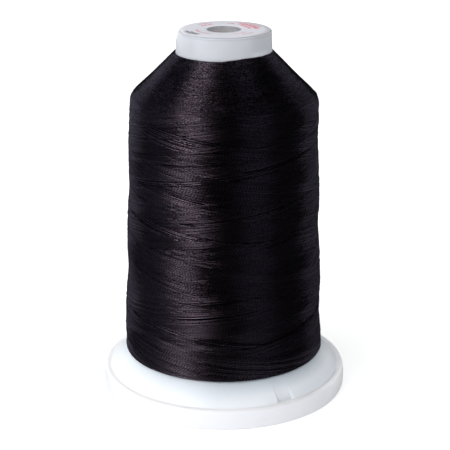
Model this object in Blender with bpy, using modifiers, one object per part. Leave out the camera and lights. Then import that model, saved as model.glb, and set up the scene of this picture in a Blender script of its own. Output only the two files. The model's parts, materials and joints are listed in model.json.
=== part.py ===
"""Cone of thread on a snap-base spool, standing upright.

Four pieces, as they are made: a moulded spool body (a hollow tapered barrel with its cap, and the conical
flange that the package stands on), the snap base that closes the flange from below and lets the thread's
end be locked in the groove between them, the wound package, and the paper ring on the cap.

Origin: centre of the base's underside. +Z runs up the spool's axis. The camera of the photograph looks
along +Y, so azimuths are counted from -Y towards +X. Every size below is in millimetres.
"""
import math

import bmesh
import bpy
from mathutils import Euler, Matrix, Vector

MM = 0.001

# Driving dimensions ----------------------------------------------------------------------------------
STEPS = 72                  # flat sides round every turned piece
GAP = 0.3                   # air between pieces that touch
MERGE = 1e-6                # metres

# Spool body: barrel and cap
CAP_TOP = 112.35            # height of the cap's flat top
CAP_THICK = 2.0             # cap's wall round the pin hole
CAP_RADIUS = 14.15          # just under the cap's rounded edge
CAP_EDGE_ROUND = 0.6
PIN_HOLE_RADIUS = 5.15
NECK_HEIGHT = 105.8         # where the cap's side goes down into the thread
NECK_RADIUS = 14.45
BARREL_FOOT_RADIUS = 16.0
BARREL_WALL = 1.5

# Spool body: conical flange
FLANGE_SLOPE = math.radians(47.6)
FLANGE_EDGE_RADIUS = 36.1
FLANGE_EDGE_HEIGHT = 6.12   # upper corner of the flange's edge
FLANGE_WALL = 1.5

# Recess in the flange for the thread's end
CATCH_AZIMUTH = math.radians(30.7)
CATCH_WIDTH = 5.3
CATCH_RUN = 5.4             # its length down the slope
CATCH_DEPTH = 0.95          # at the flange's edge; it runs out to nothing at the top
CATCH_TOOTH = 0.8           # how far the small tooth reaches into the recess
CATCH_TOOTH_TOP = 1.5       # the tooth starts this far up the slope from the flange's edge
CATCH_TOOTH_TIP = 0.6       # and has its full reach from here down
CUTTER_THICK = 3.0
CUTTER_OVER = 2.0           # how far the cutter reaches past the flange's edge

# Snap base
BASE_RADIUS = 38.4          # at the widest point of its wall
BASE_TOP_RADIUS = 37.95
BASE_HEIGHT = 6.0
BASE_WIDEST_HEIGHT = 2.6
BASE_FOOT_RADIUS = 38.1
BASE_FOOT_ROUND = 0.3
BASE_TOP_ROUND = 0.45
BASE_TOP_FALL = 0.25       # the rim's top falls inwards by this much
GROOVE_RADIUS = 36.5        # inner face of the rim, outside the flange's edge
LEDGE_HEIGHT = 4.9          # the flange's edge stands over this ledge
FOOT_RING_INNER = 34.2      # the base rests on a ring from here to BASE_FOOT_RADIUS
FLOOR_BOTTOM = 0.8
FLOOR_TOP = 2.0
BASE_WALL_INNER = 35.2
COLLAR_WALL = 1.5           # the collar that plugs into the barrel's foot
COLLAR_TOP = 7.5

# Wound thread
PACKAGE_FOOT = 12.1         # height where the package's side meets the flange
PACKAGE_FOOT_RADIUS = 31.0
PACKAGE_TOP_RADIUS = 28.5   # just under the shoulder's corner
PACKAGE_WAIST = 0.2         # how far its side is hollowed halfway up
SHOULDER_CORNER = 90.6      # height where the corner starts
SHOULDER_ROUND = 5.0        # the shoulder above the corner slopes at 45 degrees
SHOULDER_ROWS = 5           # rings of points up the shoulder
PACKAGE_ROWS = 22           # rings of points up the side
FOOT_ROUND = 0.5
TOP_ROUND = 0.5             # where the shoulder ends at the cap
TWIST_PITCH = 27.0          # one turn of the crossed winding
TWIST_SWELL = 0.17          # how far its bands stand proud
TWIST_PEAK = 52.5           # height at which the band stands proud on the side facing -X
FOOT_SWELL = 0.32           # extra thickness of the package's foot on the side facing -X
SWELL_TOP = 110.0           # the foot's extra thickness has run out at this height
CROSSING_SHARE = 0.4        # swell where two bands cross, as a share of TWIST_SWELL
SWELL_GROWS = 4.0           # bands reach their full swell this far above the flange
SHOULDER_GROWS = 6.0        # and this far out from the barrel
TOP_EDGE_DEPTH = 4.0        # the top edge's rise fades out over this height
TOP_EDGE_RISE = 0.45        # the package's top edge is this much higher at TOP_EDGE_AZIMUTH
TOP_EDGE_AZIMUTH = math.radians(50.0)

# Paper ring on the cap
LABEL_RADIUS = 13.4
LABEL_HOLE_RADIUS = 5.3
LABEL_THICK = 0.15

# Finishes: base colour, roughness
FINISHES = {
    "white_plastic": ((0.78, 0.81, 0.84), 0.38),
    "base_plastic": ((0.86, 0.88, 0.90), 0.33),
    "black_thread": ((0.022, 0.018, 0.024), 0.45),
    "label_paper": ((0.80, 0.80, 0.85), 0.60),
}


# Scene helpers ---------------------------------------------------------------------------------------
def empty_scene():
    for old in list(bpy.data.objects):
        bpy.data.objects.remove(old, do_unlink=True)


def new_collection(name):
    collection = bpy.data.collections.new(name)
    bpy.context.scene.collection.children.link(collection)
    return collection


def finish(slot):
    colour, roughness = FINISHES[slot]
    material = bpy.data.materials.new(slot)
    material.use_nodes = True
    shader = material.node_tree.nodes["Principled BSDF"]
    shader.inputs["Base Color"].default_value = (*colour, 1.0)
    shader.inputs["Roughness"].default_value = roughness
    shader.inputs["Metallic"].default_value = 0.0
    return material


def arc(centre, radius, start, end, parts):
    """Points on an arc from angle start to angle end, in degrees, 0 pointing outwards and 90 up."""
    points = []
    for index in range(parts + 1):
        angle = math.radians(start + (end - start) * index / parts)
        points.append((centre[0] + radius * math.cos(angle), centre[1] + radius * math.sin(angle)))
    return points


def turned(name, outline, collection, slot):
    """A closed outline of (radius, height) points, turned about Z. It runs down its outer side."""
    mesh = bpy.data.meshes.new(name)
    points = [(radius * MM, 0.0, height * MM) for radius, height in outline]
    count = len(points)
    mesh.from_pydata(points, [(i, (i + 1) % count) for i in range(count)], [])
    piece = bpy.data.objects.new(name, mesh)
    collection.objects.link(piece)
    screw = piece.modifiers.new("turn", "SCREW")
    screw.axis = "Z"
    screw.angle = math.tau
    screw.steps = STEPS
    screw.render_steps = STEPS
    screw.use_merge_vertices = True
    screw.merge_threshold = MERGE
    screw.use_smooth_shade = True
    mesh.materials.append(finish(slot))
    return piece


def made_mesh(piece):
    """Replaces the piece's modifiers by the mesh that they make."""
    depsgraph = bpy.context.evaluated_depsgraph_get()
    mesh = bpy.data.meshes.new_from_object(piece.evaluated_get(depsgraph))
    piece.modifiers.clear()
    piece.data = mesh
    return mesh


# Lines that several pieces share ---------------------------------------------------------------------
def flange_height(radius):
    """Height of the flange's upper surface."""
    return FLANGE_EDGE_HEIGHT + (FLANGE_EDGE_RADIUS - radius) * math.tan(FLANGE_SLOPE)


def barrel_radius(height):
    """Outer radius of the barrel, which widens towards its foot."""
    taper = (BARREL_FOOT_RADIUS - NECK_RADIUS) / NECK_HEIGHT
    return NECK_RADIUS + (NECK_HEIGHT - height) * taper


def meeting_height(drop, wall):
    """Where a line `drop` under the flange's surface meets the barrel's side, `wall` in from it."""
    height = flange_height(BARREL_FOOT_RADIUS)
    for _ in range(20):
        height = flange_height(barrel_radius(height) - wall) - drop
    return height


# Spool body ------------------------------------------------------------------------------------------
def make_spool_body(collection, cutters):
    round_centre = (CAP_RADIUS - CAP_EDGE_ROUND, CAP_TOP - CAP_EDGE_ROUND)
    drop = FLANGE_WALL / math.cos(FLANGE_SLOPE)
    edge_bottom = LEDGE_HEIGHT + GAP
    underside_start = FLANGE_EDGE_RADIUS - (edge_bottom + drop - FLANGE_EDGE_HEIGHT) / math.tan(FLANGE_SLOPE)
    top_of_flange = meeting_height(0.0, 0.0)
    under_flange = meeting_height(drop, 0.0)
    barrel_foot = FLOOR_TOP + GAP
    cap_underside = CAP_TOP - CAP_THICK

    outline = [(PIN_HOLE_RADIUS, CAP_TOP)]
    outline += arc(round_centre, CAP_EDGE_ROUND, 90, 0, 4)
    outline.append((NECK_RADIUS, NECK_HEIGHT))
    outline.append((barrel_radius(top_of_flange), top_of_flange))
    outline.append((FLANGE_EDGE_RADIUS, FLANGE_EDGE_HEIGHT))
    outline.append((FLANGE_EDGE_RADIUS, edge_bottom))
    outline.append((underside_start, edge_bottom))
    outline.append((barrel_radius(under_flange), under_flange))
    outline.append((barrel_radius(barrel_foot), barrel_foot))
    outline.append((barrel_radius(barrel_foot) - BARREL_WALL, barrel_foot))
    outline.append((barrel_radius(cap_underside) - BARREL_WALL, cap_underside))
    outline.append((PIN_HOLE_RADIUS, cap_underside))
    body = turned("spool_body", outline, collection, "white_plastic")

    cut = body.modifiers.new("thread catch", "BOOLEAN")
    cut.operation = "DIFFERENCE"
    cut.solver = "EXACT"
    cut.object = make_catch_cutter(cutters)
    return body


def make_catch_cutter(cutters):
    """Block that cuts the recess: its outline lies on the slope, and its underside is the floor."""
    half = CATCH_WIDTH / 2
    end = CATCH_RUN + CUTTER_OVER
    corners = [(-half, 0.0), (-half, CATCH_RUN - CATCH_TOOTH_TOP),
               (-half + CATCH_TOOTH, CATCH_RUN - CATCH_TOOTH_TIP), (-half + CATCH_TOOTH, end),
               (half, end), (half, 0.0)]

    curve = bpy.data.curves.new("thread_catch_outline", "CURVE")
    curve.dimensions = "2D"
    curve.fill_mode = "BOTH"
    curve.extrude = CUTTER_THICK / 2 * MM
    spline = curve.splines.new("POLY")
    spline.points.add(len(corners) - 1)
    for point, (across, down) in zip(spline.points, corners):
        point.co = (across * MM, -down * MM, CUTTER_THICK / 2 * MM, 1.0)
    spline.use_cyclic_u = True

    flat = bpy.data.objects.new("thread_catch_outline", curve)
    cutters.objects.link(flat)
    depsgraph = bpy.context.evaluated_depsgraph_get()
    mesh = bpy.data.meshes.new_from_object(flat.evaluated_get(depsgraph))
    bpy.data.objects.remove(flat, do_unlink=True)
    weld(mesh)

    cutter = bpy.data.objects.new("thread_catch_cutter", mesh)
    cutters.objects.link(cutter)
    cutter.matrix_world = catch_place()
    cutter.hide_render = True
    cutter.display_type = "WIRE"
    return cutter


def weld(mesh):
    work = bmesh.new()
    work.from_mesh(mesh)
    bmesh.ops.remove_doubles(work, verts=work.verts, dist=MERGE)
    bmesh.ops.recalc_face_normals(work, faces=work.faces)
    work.to_mesh(mesh)
    work.free()


def catch_place():
    """On the flange at the recess's top end: X across, -Y down the slope, Z away from the floor."""
    top_radius = FLANGE_EDGE_RADIUS - CATCH_RUN * math.cos(FLANGE_SLOPE)
    start = Vector((0.0, -top_radius, flange_height(top_radius))) * MM
    floor_tilt = FLANGE_SLOPE + math.asin(CATCH_DEPTH / CATCH_RUN)
    lean = Euler((floor_tilt, 0.0, 0.0)).to_matrix().to_4x4()
    turn = Matrix.Rotation(CATCH_AZIMUTH, 4, "Z")
    return turn @ Matrix.Translation(start) @ lean


# Snap base -------------------------------------------------------------------------------------------
def make_snap_base(collection):
    collar_outer = barrel_radius(COLLAR_TOP) - BARREL_WALL - GAP
    collar_inner = collar_outer - COLLAR_WALL
    top_round = (BASE_TOP_RADIUS - BASE_TOP_ROUND, BASE_HEIGHT - BASE_TOP_ROUND)
    foot_round = (BASE_FOOT_RADIUS - BASE_FOOT_ROUND, BASE_FOOT_ROUND)

    outline = [(GROOVE_RADIUS, BASE_HEIGHT - BASE_TOP_FALL)]
    outline += arc(top_round, BASE_TOP_ROUND, 100, 5, 3)
    outline.append((BASE_RADIUS, BASE_WIDEST_HEIGHT))
    outline += arc(foot_round, BASE_FOOT_ROUND, -5, -90, 3)
    outline.append((FOOT_RING_INNER, 0.0))
    outline.append((FOOT_RING_INNER - FLOOR_BOTTOM, FLOOR_BOTTOM))
    outline.append((collar_inner, FLOOR_BOTTOM))
    outline.append((collar_inner, COLLAR_TOP))
    outline.append((collar_outer, COLLAR_TOP))
    outline.append((barrel_radius(FLOOR_TOP) - BARREL_WALL - GAP, FLOOR_TOP))
    outline.append((BASE_WALL_INNER, FLOOR_TOP))
    outline.append((BASE_WALL_INNER, LEDGE_HEIGHT))
    outline.append((GROOVE_RADIUS, LEDGE_HEIGHT))
    return turned("snap_base", outline, collection, "base_plastic")


# Wound thread ----------------------------------------------------------------------------------------
def side_radius(height):
    """The package's side between its foot and its shoulder: a cone with a slight waist."""
    share = (height - PACKAGE_FOOT) / (SHOULDER_CORNER - PACKAGE_FOOT)
    cone = PACKAGE_FOOT_RADIUS + (PACKAGE_TOP_RADIUS - PACKAGE_FOOT_RADIUS) * share
    return cone - PACKAGE_WAIST * 4 * share * (1 - share)


def package_outline():
    """The package's outline: down its shoulder and side, in along the flange, up the barrel."""
    seat = GAP / math.cos(FLANGE_SLOPE)
    foot_inside = meeting_height(-seat, -GAP)
    bore = barrel_radius(NECK_HEIGHT) + GAP
    corner = (PACKAGE_TOP_RADIUS - SHOULDER_ROUND, SHOULDER_CORNER)
    diagonal = SHOULDER_ROUND * math.sqrt(0.5)
    shoulder_foot = (corner[0] + diagonal, corner[1] + diagonal)
    shoulder_sum = sum(shoulder_foot)          # radius + height is the same all along the shoulder
    shoulder_top = (bore + TOP_ROUND, shoulder_sum - bore - TOP_ROUND)

    outline = [(bore, shoulder_sum - bore - TOP_ROUND)]
    for row in range(SHOULDER_ROWS):
        share = row / SHOULDER_ROWS
        outline.append(tuple(a + (b - a) * share for a, b in zip(shoulder_top, shoulder_foot)))
    outline += arc(corner, SHOULDER_ROUND, 45, 0, 4)
    foot_top = PACKAGE_FOOT + FOOT_ROUND
    for row in range(1, PACKAGE_ROWS + 1):
        height = SHOULDER_CORNER + (foot_top - SHOULDER_CORNER) * row / PACKAGE_ROWS
        outline.append((side_radius(height), height))
    foot_radius = PACKAGE_FOOT_RADIUS - FOOT_ROUND
    outline.append((foot_radius, flange_height(foot_radius) + seat))
    outline.append((barrel_radius(foot_inside) + GAP, foot_inside))
    return outline


def ramp(value, start, end):
    """0 up to start, 1 from end on, straight between."""
    return min(1.0, max(0.0, (value - start) / (end - start)))


def band_swell(azimuth, height):
    """How far the crossed winding's bands stand proud of the plain cone, in millimetres."""
    turns = (height - TWIST_PEAK) / TWIST_PITCH
    from_left = azimuth + math.pi / 2
    fade = 1.0 - ramp(height, TWIST_PEAK, SWELL_TOP)
    band = TWIST_SWELL * fade * math.cos(from_left - math.tau * turns)
    crossing = CROSSING_SHARE * TWIST_SWELL * fade * math.cos(2 * azimuth + math.tau * 2 * turns)
    return band + crossing + FOOT_SWELL * (1.0 - height / SWELL_TOP) * math.cos(from_left)


def make_winding(collection):
    winding = turned("thread_winding", package_outline(), collection, "black_thread")
    for vertex in made_mesh(winding).vertices:
        x, y, z = vertex.co / MM
        radius = math.hypot(x, y)
        azimuth = math.atan2(x, -y)
        off_flange = ramp(z - flange_height(radius), 2 * GAP, SWELL_GROWS)
        off_barrel = ramp(radius - barrel_radius(z), 2 * GAP, SHOULDER_GROWS)
        outward = 1.0 + band_swell(azimuth, z) * off_flange * off_barrel / radius
        near_cap = ramp(z, NECK_HEIGHT - TOP_EDGE_DEPTH, NECK_HEIGHT)
        rise = TOP_EDGE_RISE * near_cap * math.cos(azimuth - TOP_EDGE_AZIMUTH)
        vertex.co = Vector((x * outward, y * outward, z + rise)) * MM
    return winding


# Paper ring ------------------------------------------------------------------------------------------
def make_label(collection):
    bottom = CAP_TOP + GAP
    outline = [(LABEL_HOLE_RADIUS, bottom + LABEL_THICK), (LABEL_RADIUS, bottom + LABEL_THICK),
               (LABEL_RADIUS, bottom), (LABEL_HOLE_RADIUS, bottom)]
    return turned("cap_label", outline, collection, "label_paper")


def main():
    empty_scene()
    parts = new_collection("cone_of_thread")
    cutters = new_collection("cutters")
    make_spool_body(parts, cutters)
    make_snap_base(parts)
    make_winding(parts)
    make_label(parts)


main()
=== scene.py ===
# %% [markdown]
# # A cone of thread, as a lesson in Blender
#
# The object is a spool of embroidery thread: a white plastic body with a capped barrel and a conical
# flange, a base that clips on from below, a paper ring on the cap, and about five kilometres of black
# thread wound criss-cross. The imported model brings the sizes. This script makes the surfaces: real turns
# of thread, softened plastic edges, print on paper, and the light of a small studio.

import json
import math

import bmesh
import bpy
import numpy as np
from mathutils import Matrix, Vector

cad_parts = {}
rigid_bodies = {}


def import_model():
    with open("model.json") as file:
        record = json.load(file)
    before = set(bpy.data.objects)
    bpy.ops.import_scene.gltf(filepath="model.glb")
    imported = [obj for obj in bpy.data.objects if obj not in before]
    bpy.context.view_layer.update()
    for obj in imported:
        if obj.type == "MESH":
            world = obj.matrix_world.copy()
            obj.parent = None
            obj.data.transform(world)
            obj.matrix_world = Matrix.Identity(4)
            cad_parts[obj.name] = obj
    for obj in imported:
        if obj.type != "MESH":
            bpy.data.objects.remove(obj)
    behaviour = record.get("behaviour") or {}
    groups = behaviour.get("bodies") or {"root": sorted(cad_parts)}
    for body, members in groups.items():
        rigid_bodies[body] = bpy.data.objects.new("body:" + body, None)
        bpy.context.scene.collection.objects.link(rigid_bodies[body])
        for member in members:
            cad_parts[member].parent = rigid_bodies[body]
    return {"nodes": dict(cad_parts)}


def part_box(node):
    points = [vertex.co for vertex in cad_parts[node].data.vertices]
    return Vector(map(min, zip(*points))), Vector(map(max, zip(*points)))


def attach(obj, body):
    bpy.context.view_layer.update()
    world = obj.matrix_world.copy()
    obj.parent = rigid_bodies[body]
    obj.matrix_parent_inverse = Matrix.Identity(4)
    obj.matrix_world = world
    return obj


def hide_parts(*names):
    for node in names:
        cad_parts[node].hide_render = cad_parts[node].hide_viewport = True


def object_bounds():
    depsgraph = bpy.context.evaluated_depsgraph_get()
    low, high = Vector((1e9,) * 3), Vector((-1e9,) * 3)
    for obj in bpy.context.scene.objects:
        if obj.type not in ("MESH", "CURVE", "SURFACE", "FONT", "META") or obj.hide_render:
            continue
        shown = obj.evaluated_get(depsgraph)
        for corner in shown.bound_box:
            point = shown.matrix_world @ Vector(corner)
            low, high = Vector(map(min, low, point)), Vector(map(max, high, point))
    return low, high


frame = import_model()
cad_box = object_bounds()
print("packed model:", sorted(frame["nodes"]), "box", cad_box)

# %% [markdown]
# ## Sizes
#
# The script thinks in millimetres and turns them into Blender's metres in one place. Heights count from the
# underside of the base. Azimuths count from the side that faces the camera (-Y) towards the right (+X).

# %% Sizes that everything shares
MM = 0.001
TAU = math.tau
TOP_OF_ALL = cad_box[1][2] / MM
LABEL_THICK = 0.15
GLUE_THICK = 0.01
CAP_TOP = TOP_OF_ALL - LABEL_THICK - GLUE_THICK     # the paper is glued flat on the cap
HOLE_RADIUS = 5.1                                   # the pin hole in the cap
BASE_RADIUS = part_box("snap_base")[1][0] / MM
FLANGE_EDGE_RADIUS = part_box("spool_body")[1][0] / MM
FLANGE_EDGE_HEIGHT = 6.12
FLANGE_SLOPE = math.radians(47.6)
NECK_HEIGHT = 105.8
NECK_RADIUS = 14.45
BARREL_FOOT_RADIUS = 16.0


def flange_height(radius):
    """Height of the flange's upper surface at a distance from the axis."""
    return FLANGE_EDGE_HEIGHT + (FLANGE_EDGE_RADIUS - radius) * math.tan(FLANGE_SLOPE)


def barrel_radius(height):
    """Outer radius of the barrel, which widens towards its foot."""
    return NECK_RADIUS + (NECK_HEIGHT - height) * (BARREL_FOOT_RADIUS - NECK_RADIUS) / NECK_HEIGHT


print(f"cap top {CAP_TOP:.2f}, base radius {BASE_RADIUS:.2f}, flange radius {FLANGE_EDGE_RADIUS:.2f} mm")

# %% [markdown]
# ## Camera
#
# The view is that of the photograph: 19 degrees down, from 0.43 m away, through a short telephoto lens.
# The camera comes first, so that every later step can be judged in its view.

# %% Camera
CAMERA_PITCH = 18.94
CAMERA_PLACE = (0.3, -403.6, 189.9)
CAMERA_LENS = 109.7
CAMERA_SENSOR = 36.0


def new_object(name, data):
    """An object with this mesh, light or camera, in the scene."""
    piece = bpy.data.objects.new(name, data)
    bpy.context.scene.collection.objects.link(piece)
    return piece


def add_camera():
    data = bpy.data.cameras.new("camera")
    data.lens = CAMERA_LENS
    data.sensor_width = CAMERA_SENSOR
    camera = new_object("camera", data)
    camera.location = Vector(CAMERA_PLACE) * MM
    camera.rotation_euler = (math.radians(90.0 - CAMERA_PITCH), 0.0, 0.0)
    bpy.context.scene.camera = camera
    return camera


camera = add_camera()
print("camera at", tuple(round(v, 4) for v in camera.location), "lens", camera.data.lens)

# %% [markdown]
# ## Writing sums as nodes
#
# Node trees that work out a shape are mostly arithmetic. A tiny class makes them readable: a Term wraps a
# socket, and +, -, * and / between Terms and numbers add Math nodes. The same class serves geometry
# trees and shader trees, because both use the same Math node. A formula that is needed as nodes and also
# for plain numbers is written once, with calc and ramp.

# %% A socket that can be used in a sum
class Term:
    def __init__(self, socket):
        self.socket = socket
        self.tree = socket.id_data

    def math(self, operation, *others):
        node = add_node(self.tree, "ShaderNodeMath", {"operation": operation})
        for slot, value in zip(node.inputs, (self, *others)):
            plug(value, slot)
        return out(node)

    def __add__(self, other):
        return self.math("ADD", other)

    def __sub__(self, other):
        return self.math("SUBTRACT", other)

    def __rsub__(self, other):
        return self.math("MULTIPLY_ADD", -1.0, other)

    def __mul__(self, other):
        return self.math("MULTIPLY", other)

    def __truediv__(self, other):
        return self.math("DIVIDE", other)

    __radd__ = __add__
    __rmul__ = __mul__

    def ramp(self, start, end):
        node = add_node(self.tree, "ShaderNodeMapRange")
        for slot, value in zip(node.inputs, (self, start, end, 0.0, 1.0)):
            plug(value, slot)
        return out(node)


PLAIN = {"MINIMUM": min, "MAXIMUM": max, "COSINE": math.cos,
         "SQRT": lambda value: math.sqrt(max(0.0, value))}      # the Math node also gives 0 below 0


def calc(operation, value, *others):
    """One operation of a formula, on a Term or on plain numbers."""
    if isinstance(value, Term):
        return value.math(operation, *others)
    return PLAIN[operation](value, *others)


def ramp(value, start, end):
    """0 up to start, 1 from end on, straight between, for a Term or a plain number."""
    if isinstance(value, Term):
        return value.ramp(start, end)
    return min(1.0, max(0.0, (value - start) / (end - start)))


def hump(value, start, full, ebb, end):
    """0 up to start, 1 from full to ebb, 0 again from end on."""
    return value.ramp(start, full) * (1.0 - value.ramp(ebb, end))


def band(value, low, high, soft):
    """1 between low and high, 0 outside them, with soft borders."""
    return hump(value, low - soft, low + soft, high - soft, high + soft)


def plug(value, slot):
    """Feeds an input socket from a Term or a constant."""
    if isinstance(value, Term):
        value.tree.links.new(value.socket, slot)
    else:
        slot.default_value = value


def feed(node, **inputs):
    """Feeds the inputs of a node by their names, with _ for a space."""
    for key, value in inputs.items():
        plug(value, node.inputs[key.replace("_", " ")])


def add_node(tree, kind, settings=None, **inputs):
    """A new node with these settings and inputs."""
    node = tree.nodes.new(kind)
    for key, value in (settings or {}).items():
        setattr(node, key, value)
    feed(node, **inputs)
    return node


def out(node, key=0):
    """One output of a node, by its number or name, as a Term."""
    return Term(node.outputs[key])


def vector(tree, x, y=0.0, z=0.0):
    return out(add_node(tree, "ShaderNodeCombineXYZ", X=x, Y=y, Z=z))


def noise(tree, place, detail, scale=1.0):
    """Smooth noise round 0.5."""
    return out(add_node(tree, "ShaderNodeTexNoise", Vector=place, Scale=scale, Detail=detail))


print("sums as nodes: ready")

# %% [markdown]
# ## Running a geometry tree
#
# Each tree has named inputs. The modifier takes their values by identifier, and is evaluated once; the
# result is copied to a plain mesh, so that nothing live is left on the piece.

# %% Helpers for node trees
SOCKETS = {int: "NodeSocketInt", float: "NodeSocketFloat", tuple: "NodeSocketColor"}


def new_tree(name, inputs, outputs, kind):
    """A node tree with inputs {name: default} and outputs {name: kind}. Also returns its inputs as Terms,
    and the node that takes its outputs."""
    tree = bpy.data.node_groups.new(name, kind)
    for key, value in inputs.items():
        socket_kind = SOCKETS.get(type(value), "NodeSocketMaterial")
        socket = tree.interface.new_socket(key, in_out="INPUT", socket_type=socket_kind)
        if value is not None:
            socket.default_value = value
    for key, socket_kind in outputs.items():
        tree.interface.new_socket(key, in_out="OUTPUT", socket_type=socket_kind)
    source = tree.nodes.new("NodeGroupInput")
    return tree, {key: out(source, key) for key in inputs}, tree.nodes.new("NodeGroupOutput")


def geometry_tree(name, inputs):
    return new_tree(name, inputs, {"Geometry": "NodeSocketGeometry"}, "GeometryNodeTree")


def grown(name, tree, values, material):
    """Runs the tree with these values and returns its result as a plain mesh object."""
    seed = new_object(name + "_seed", bpy.data.meshes.new(name + "_seed"))
    modifier = seed.modifiers.new(name, "NODES")
    modifier.node_group = tree
    values = {**values, "Material": material}
    for item in tree.interface.items_tree:
        if item.in_out == "INPUT" and item.name in values:
            modifier[item.identifier] = values[item.name]
    depsgraph = bpy.context.evaluated_depsgraph_get()
    mesh = bpy.data.meshes.new_from_object(seed.evaluated_get(depsgraph))
    bpy.data.objects.remove(seed, do_unlink=True)
    mesh.name = name
    if material.name not in mesh.materials:
        mesh.materials.clear()
        mesh.materials.append(material)
    return new_object(name, mesh)


def triangles(piece):
    return sum(len(face.vertices) - 2 for face in piece.data.polygons)


print("tree helpers: ready")

# %% [markdown]
# ## Where on the piece
#
# Every finish here changes from place to place: a dark line in a seam, partly dust and partly painted shade;
# painted shade by the thread, and painted light and shade on each side; print on the paper. The materials
# read the place from Object coordinates, which for these pieces are simply the lengths of the real object,
# and turn it into masks that run from 0 to 1.

# %% Helpers for materials
def new_material(name):
    """A material with nodes: itself, its node tree and its Principled shader."""
    material = bpy.data.materials.new(name)
    material.use_nodes = True
    return material, material.node_tree, material.node_tree.nodes["Principled BSDF"]


def noise_at(tree, size, detail):
    """Noise on the piece itself, its features about this many millimetres apart."""
    return noise(tree, out(add_node(tree, "ShaderNodeTexCoord"), "Object"), detail, 1.0 / (size * MM))


def places(tree):
    """x, y, height and distance from the axis on the piece itself, all in millimetres."""
    place = out(add_node(tree, "ShaderNodeTexCoord"), "Object")
    split = add_node(tree, "ShaderNodeSeparateXYZ", Vector=place)
    x, y, height = (out(split, index) / MM for index in range(3))
    return x, y, height, (x * x + y * y).math("SQRT")


def mixed(tree, first, second, share, blend="MIX"):
    """The first colour, blended with the second one by this share."""
    node = add_node(tree, "ShaderNodeMix", {"data_type": "RGBA", "blend_type": blend})
    plug(share, node.inputs["Factor"])
    for slot, value in zip([slot for slot in node.inputs if slot.type == "RGBA"], (first, second)):
        plug(value, slot)
    return Term([slot for slot in node.outputs if slot.type == "RGBA"][0])


def shaded(tree, colour, shades):
    """The colour, multiplied in turn by each shade where its mask is 1."""
    for shade, mask in shades:
        colour = mixed(tree, colour, (*shade, 1.0), mask, "MULTIPLY")
    return colour


print("material helpers: ready")

# %% [markdown]
# ## Thread finish
#
# Embroidery thread is two plies of continuous filament, twisted together. It is nearly black, but its
# filaments are smooth, so each turn carries a purple-brown streak of light. The shape of the turns
# spreads that streak by itself. The material adds the plies as a bump that runs along each turn, with
# painted shade in the grooves between them, and lets some turns be a little duller than others. Painted
# glints make a turn lighter in some places and not in others: in short stretches along the thread on the
# side, and in small specks on the shoulder, where the thread turns back. The material is a metal because
# the streak has the colour of the dyed filaments.

# %% Thread material
THREAD_SHEEN = (0.090, 0.069, 0.090)
PLY_LENGTH = 0.92           # millimetres along the thread from one ply to the next
PLY_DEPTH = 0.016
GLINT_LENGTH = 0.65         # length of the lighter and darker stretches of a turn on the side
GLINT_DEPTH = 0.8           # their bump, as a share of the depth of the plies
SPECK_SIZE = 0.35           # on the shoulder the stretches are specks, the same size each way
SPECK_DEPTH = 0.6
SPECKS_TAKE_OVER = (87.0, 97.0)         # between these heights
SPECKS_MOST = 0.75


def thread_material():
    material, tree, shader = new_material("black_thread")
    along, around, tone = (out(add_node(tree, "ShaderNodeAttribute", {"attribute_name": name}), "Fac")
                           for name in ("along", "around", "tone"))
    plies = (along / PLY_LENGTH * math.pi + around * math.pi).math("SINE").math("ABSOLUTE")
    speck = noise_at(tree, SPECK_SIZE, 0.0).ramp(0.38, 0.62)
    crisp = places(tree)[2].ramp(*SPECKS_TAKE_OVER) * SPECKS_MOST
    glint = noise(tree, vector(tree, along / GLINT_LENGTH), 0.0).ramp(0.36, 0.66)
    bump = add_node(tree, "ShaderNodeBump", Strength=1.0, Distance=PLY_DEPTH * MM,
                    Height=plies + speck * crisp * SPECK_DEPTH + glint * (1.0 - crisp) * GLINT_DEPTH)
    # Painted glints: the colour is lighter in some stretches of each turn on the side and darker in others,
    # and lighter in specks on the shoulder.
    glint = (glint * 0.5 + 0.82) * (1.0 - crisp) + (speck * 1.9 + 0.05) * crisp
    # Painted shade in the grooves between the plies: the colour is darkest where two plies meet.
    light = glint * (tone * 0.45 + 0.775) * (plies * 1.4 + 0.1)
    colour = add_node(tree, "ShaderNodeCombineColor", Red=light * THREAD_SHEEN[0],
                      Green=light * THREAD_SHEEN[1], Blue=light * THREAD_SHEEN[2])
    tangent = add_node(tree, "ShaderNodeTangent", {"direction_type": "RADIAL", "axis": "Z"})
    feed(shader, Base_Color=out(colour), Normal=out(bump), Tangent=out(tangent), Metallic=1.0,
         Roughness=0.275, Specular_Tint=(0.6, 0.6, 0.66, 1.0), Anisotropic=0.75, Anisotropic_Rotation=0.25)
    return material


black_thread = thread_material()
print("material:", black_thread.name)

# %% [markdown]
# ## The crossed winding
#
# The winder guides the thread up and down while the spool turns, so the thread lies on a steep-looking but
# really gentle helix, about 27 mm up for each turn. Every new pass lies right beside the last one of its
# own direction, and on top of everything older. So two families of turns cover the side, one rising to
# the right and one to the left, and which of them shows changes in long wedges.
#
# Geometry Nodes suit this well: one spline is copied once for each pass, each copy is bent on to the
# package by a formula, and the newest copies stand a little prouder than the oldest.

# %% Sizes of the package
PACKAGE_FOOT = 12.1
PACKAGE_FOOT_RADIUS = 31.0
PACKAGE_TOP_RADIUS = 28.5
PACKAGE_WAIST = 0.12
SHOULDER_CORNER = 90.6
SHOULDER_ROUND = 5.0
SHOULDER_SUM = 121.2        # radius and height together, all along the 45 degree shoulder
TWIST_PITCH = 27.0
TWIST_SWELL = 0.17
TWIST_PEAK = 52.5
FOOT_SWELL = 0.32
SWELL_TOP = 110.0
MEAN_RADIUS = 29.5
STRAND_WIDE = 0.30
STRAND_THICK = 0.22
PASSES = 96
CORNER_FULL = (91.5, 94.3, 94.8, 98.8)      # heights: from here, full by here, to here, gone by here
CORNER_FULL_BY = 0.34
CORNER_HOLLOW = (95.0, 98.0, 99.5, 104.0)
CORNER_HOLLOW_BY = 0.16


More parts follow.
